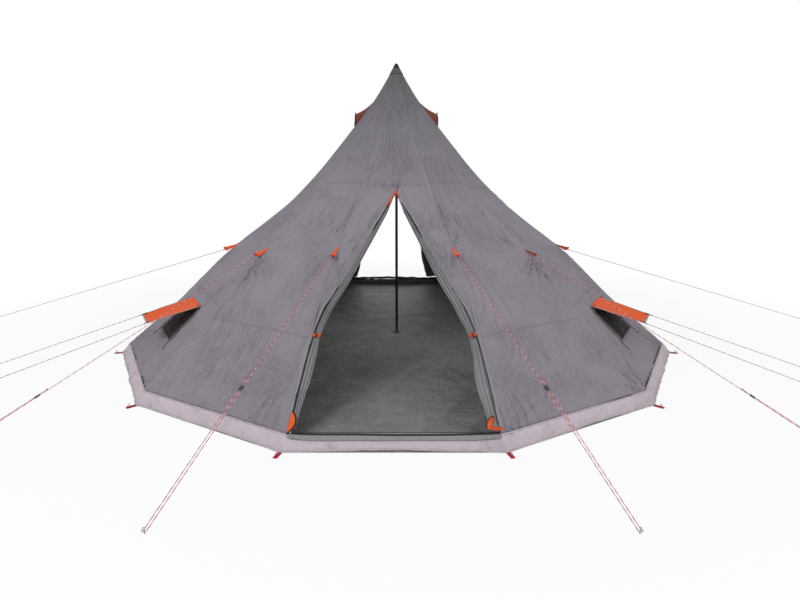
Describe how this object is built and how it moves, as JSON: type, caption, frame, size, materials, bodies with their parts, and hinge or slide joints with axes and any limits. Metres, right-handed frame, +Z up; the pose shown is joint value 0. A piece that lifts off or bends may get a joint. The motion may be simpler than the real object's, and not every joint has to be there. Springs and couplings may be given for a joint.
{
  "type": "pyramid tent",
  "caption": "Tipi tent of sloping cloth gores on a centre pole, with front and rear doors tied open, skirt, groundsheet, side awnings, vent hoods and guy lines.",
  "frame": {"origin": "on the ground directly below the peak, in the middle of the groundsheet's underside", "axes": "+Z up along the pole, -Y out through the front door, +X to the right of someone who looks at the front door from outside"},
  "size_m": [8.4052, 5.3875, 2.4],
  "materials": {
    "canopy": "matt grey-mauve coated polyester",
    "skirt": "matt pale pinkish-grey polyester",
    "floor": "dark grey woven polyethylene",
    "orange": "matt orange polyester",
    "black": "black moulded plastic",
    "mesh": "dark insect mesh",
    "steel": "black powder-coated steel tube",
    "cord": "red braided guy cord with a dark tracer",
    "peg": "plated steel wire",
    "zip": "bright metal zip slider"
  },
  "bodies": {
    "tent": {"groundsheet": "floor", "skirt": "skirt", "pole_lower": "steel", "pole_middle": "steel", "pole_upper": "steel", "peak_cap": "black", "front_wall": "canopy", "rear_wall": "canopy", "front_side_wall_left": "canopy", "window_wall_left": "canopy", "side_wall_left": "canopy", "rear_side_wall_left": "canopy", "window_mesh_left": "mesh", "vent_hood_left": "orange", "front_door_flap_left": "canopy", "rear_door_flap_left": "canopy", "door_tie_left": "orange", "guy_tab_front_left": "orange", "guy_tab_middle_left": "orange", "guy_tab_side_left": "orange", "guy_line_front_left": "cord", "peg_front_left": "peg", "guy_line_middle_left": "cord", "peg_middle_left": "peg", "guy_line_side_left": "cord", "peg_side_left": "peg", "guy_line_awning_near_left": "cord", "peg_awning_near_left": "peg", "guy_line_awning_far_left": "cord", "peg_awning_far_left": "peg", "front_side_wall_right": "canopy", "window_wall_right": "canopy", "side_wall_right": "canopy", "rear_side_wall_right": "canopy", "window_mesh_right": "mesh", "vent_hood_right": "orange", "front_door_flap_right": "canopy", "rear_door_flap_right": "canopy", "door_tie_right": "orange", "guy_tab_front_right": "orange", "guy_tab_middle_right": "orange", "guy_tab_side_right": "orange", "guy_line_front_right": "cord", "peg_front_right": "peg", "guy_line_middle_right": "cord", "peg_middle_right": "peg", "guy_line_side_right": "cord", "peg_side_right": "peg", "guy_line_awning_near_right": "cord", "peg_awning_near_right": "peg", "guy_line_awning_far_right": "cord", "peg_awning_far_right": "peg", "sill_zip": "canopy"},
    "awning_left": {"awning_left": "orange"},
    "awning_right": {"awning_right": "orange"},
    "runner_front_left": {"runner_front_left": "black"},
    "runner_front_right": {"runner_front_right": "black"},
    "runner_middle_left": {"runner_middle_left": "black"},
    "runner_middle_right": {"runner_middle_right": "black"},
    "zip_slider": {"zip_slider": "zip"}
  },
  "joints": [
    {"name": "awning_left_hinge", "type": "hinge", "parent": "tent", "child": "awning_left", "pos_m": [-1.56805, -0.83603, 0.5], "axis": [-0.5, 0.866, 0], "range_deg": [-20, 25]},
    {"name": "awning_right_hinge", "type": "hinge", "parent": "tent", "child": "awning_right", "pos_m": [1.56805, -0.83603, 0.5], "axis": [-0.5, -0.866, 0], "range_deg": [-20, 25]},
    {"name": "sill_zip_slide", "type": "slide", "parent": "tent", "child": "zip_slider", "axis": [1, 0, 0], "range_m": [0, 1.148]},
    {"name": "runner_front_left_slide", "type": "slide", "parent": "tent", "child": "runner_front_left", "axis": [-0.3028, -0.8335, -0.4621], "range_m": [-0.04, 0.7]},
    {"name": "runner_middle_left_slide", "type": "slide", "parent": "tent", "child": "runner_middle_left", "axis": [-0.7038, -0.5478, -0.4524], "range_m": [-0.04, 0.22]},
    {"name": "runner_front_right_slide", "type": "slide", "parent": "tent", "child": "runner_front_right", "axis": [0.3028, -0.8335, -0.4621], "range_m": [-0.04, 0.7]},
    {"name": "runner_middle_right_slide", "type": "slide", "parent": "tent", "child": "runner_middle_right", "axis": [0.7038, -0.5478, -0.4524], "range_m": [-0.04, 0.22]}
  ]
}
